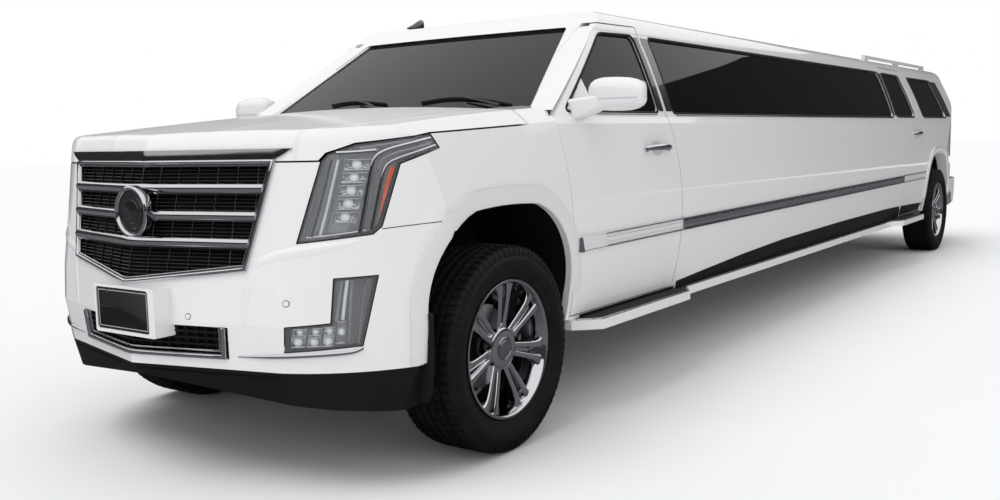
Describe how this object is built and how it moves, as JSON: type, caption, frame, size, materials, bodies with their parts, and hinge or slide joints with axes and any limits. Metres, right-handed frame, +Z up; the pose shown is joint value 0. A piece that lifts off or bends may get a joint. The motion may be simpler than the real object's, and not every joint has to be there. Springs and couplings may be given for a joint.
{
  "type": "stretch limousine",
  "caption": "Long-wheelbase limousine on a utility-vehicle body with hinged doors, hood and tailgate, steered front wheels and a lounge cabin.",
  "frame": {"origin": "on the ground under the middle of the vehicle", "axes": "+Z up, the front faces -Y, +X is the vehicle left side"},
  "size_m": [2.504, 9.753, 1.8849],
  "materials": {
    "paint": "gloss white paint",
    "glass": "near-black tint",
    "black_plastic": "textured black",
    "chrome": "polished",
    "lamp": "clear lens over a dark housing",
    "tail_lamp": "red lens",
    "rail_metal": "satin",
    "frame_steel": "black coated steel",
    "engine_metal": "cast",
    "exhaust_steel": "dull",
    "trim": "soft grained",
    "seat_leather": "black leather",
    "tyre": "black rubber"
  },
  "bodies": {
    "body": {"body_side_left": "paint", "body_side_right": "paint", "roof_panel": "paint", "front_fenders": "paint", "front_bumper": "paint", "rear_bumper": "paint", "windscreen": "glass", "side_glass": "glass", "front_valance": "black_plastic", "grille_mesh": "black_plastic", "cowl_panel": "black_plastic", "wheel_houses": "black_plastic", "running_boards": "black_plastic", "grille": "chrome", "headlamps": "lamp", "fog_lamps": "lamp", "tail_lamps": "tail_lamp", "roof_rails": "rail_metal", "frame_rails": "frame_steel", "floor_pan": "frame_steel", "front_suspension": "frame_steel", "rear_axle": "frame_steel", "engine": "engine_metal", "exhaust": "exhaust_steel", "dashboard": "trim", "steering_wheel": "trim", "front_seats": "seat_leather", "lounge_seats": "seat_leather"},
    "hood": {"hood": "paint"},
    "tailgate": {"tailgate": "paint", "tailgate_glass": "glass"},
    "front_door_left": {"front_door_left": "paint", "front_door_glass_left": "glass", "mirror_left": "black_plastic"},
    "front_door_right": {"front_door_right": "paint", "front_door_glass_right": "glass", "mirror_right": "black_plastic"},
    "rear_door_left": {"rear_door_left": "paint", "rear_door_glass_left": "glass"},
    "rear_door_right": {"rear_door_right": "paint", "rear_door_glass_right": "glass"},
    "knuckle_left": {"knuckle_left": "frame_steel"},
    "knuckle_right": {"knuckle_right": "frame_steel"},
    "wheel_front_left": {"tyre_front_left": "tyre", "rim_front_left": "chrome"},
    "wheel_front_right": {"tyre_front_right": "tyre", "rim_front_right": "chrome"},
    "wheel_rear_left": {"tyre_rear_left": "tyre", "rim_rear_left": "chrome"},
    "wheel_rear_right": {"tyre_rear_right": "tyre", "rim_rear_right": "chrome"}
  },
  "joints": [
    {"name": "steer_left", "type": "hinge", "parent": "body", "child": "knuckle_left", "pos_m": [0.8, -3.8615, 0.405], "axis": [0, 0, 1], "range_deg": [-32, 32]},
    {"name": "steer_right", "type": "hinge", "parent": "body", "child": "knuckle_right", "pos_m": [-0.8, -3.8615, 0.405], "axis": [0, 0, 1], "range_deg": [-32, 32]},
    {"name": "wheel_front_left_spin", "type": "hinge", "parent": "knuckle_left", "child": "wheel_front_left", "pos_m": [0.872, -3.8615, 0.405], "axis": [1, 0, 0], "continuous": true},
    {"name": "wheel_front_right_spin", "type": "hinge", "parent": "knuckle_right", "child": "wheel_front_right", "pos_m": [-0.872, -3.8615, 0.405], "axis": [1, 0, 0], "continuous": true},
    {"name": "wheel_rear_left_spin", "type": "hinge", "parent": "body", "child": "wheel_rear_left", "pos_m": [0.872, 3.6585, 0.405], "axis": [1, 0, 0], "continuous": true},
    {"name": "wheel_rear_right_spin", "type": "hinge", "parent": "body", "child": "wheel_rear_right", "pos_m": [-0.872, 3.6585, 0.405], "axis": [1, 0, 0], "continuous": true},
    {"name": "front_door_left_hinge", "type": "hinge", "parent": "body", "child": "front_door_left", "pos_m": [1, -3.4465, 1], "axis": [0, 0, -1], "range_deg": [0, 66]},
    {"name": "rear_door_left_hinge", "type": "hinge", "parent": "body", "child": "rear_door_left", "pos_m": [1, 2.1365, 1], "axis": [0, 0, -1], "range_deg": [0, 68]},
    {"name": "front_door_right_hinge", "type": "hinge", "parent": "body", "child": "front_door_right", "pos_m": [-1, -3.4465, 1], "axis": [0, 0, 1], "range_deg": [0, 66]},
    {"name": "rear_door_right_hinge", "type": "hinge", "parent": "body", "child": "rear_door_right", "pos_m": [-1, 2.1365, 1], "axis": [0, 0, 1], "range_deg": [0, 68]},
    {"name": "hood_hinge", "type": "hinge", "parent": "body", "child": "hood", "pos_m": [0, -3.6615, 1.36], "axis": [-1, 0, 0], "range_deg": [0, 50]},
    {"name": "tailgate_hinge", "type": "hinge", "parent": "body", "child": "tailgate", "pos_m": [0, 4.5935, 1.805], "axis": [1, 0, 0], "range_deg": [0, 80]}
  ],
  "couplings": [
    {"joint": "steer_right", "follows": "steer_left", "ratio": 1}
  ]
}
